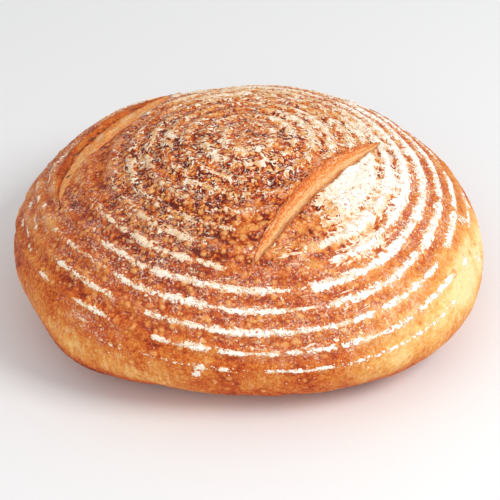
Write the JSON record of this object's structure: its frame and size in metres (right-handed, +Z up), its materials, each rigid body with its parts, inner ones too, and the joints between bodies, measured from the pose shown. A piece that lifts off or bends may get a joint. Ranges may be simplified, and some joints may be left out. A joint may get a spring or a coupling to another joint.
{
  "type": "sourdough loaf",
  "caption": "Round sourdough loaf with a flat base, a domed top ridged by its proving basket, slashed and dusted with flour.",
  "frame": {"origin": "on the flat base, under the middle of the loaf's bounding box", "axes": "+Z up out of the domed top, -Y the front, which has the short slash on its right"},
  "size_m": [0.2506, 0.24, 0.1012],
  "materials": {
    "crust": "matt browned crust, golden on the lower side and dark toasted near the top",
    "flour": "dry matt flour baked on"
  },
  "bodies": {
    "root": {"loaf": "crust"}
  },
  "joints": []
}
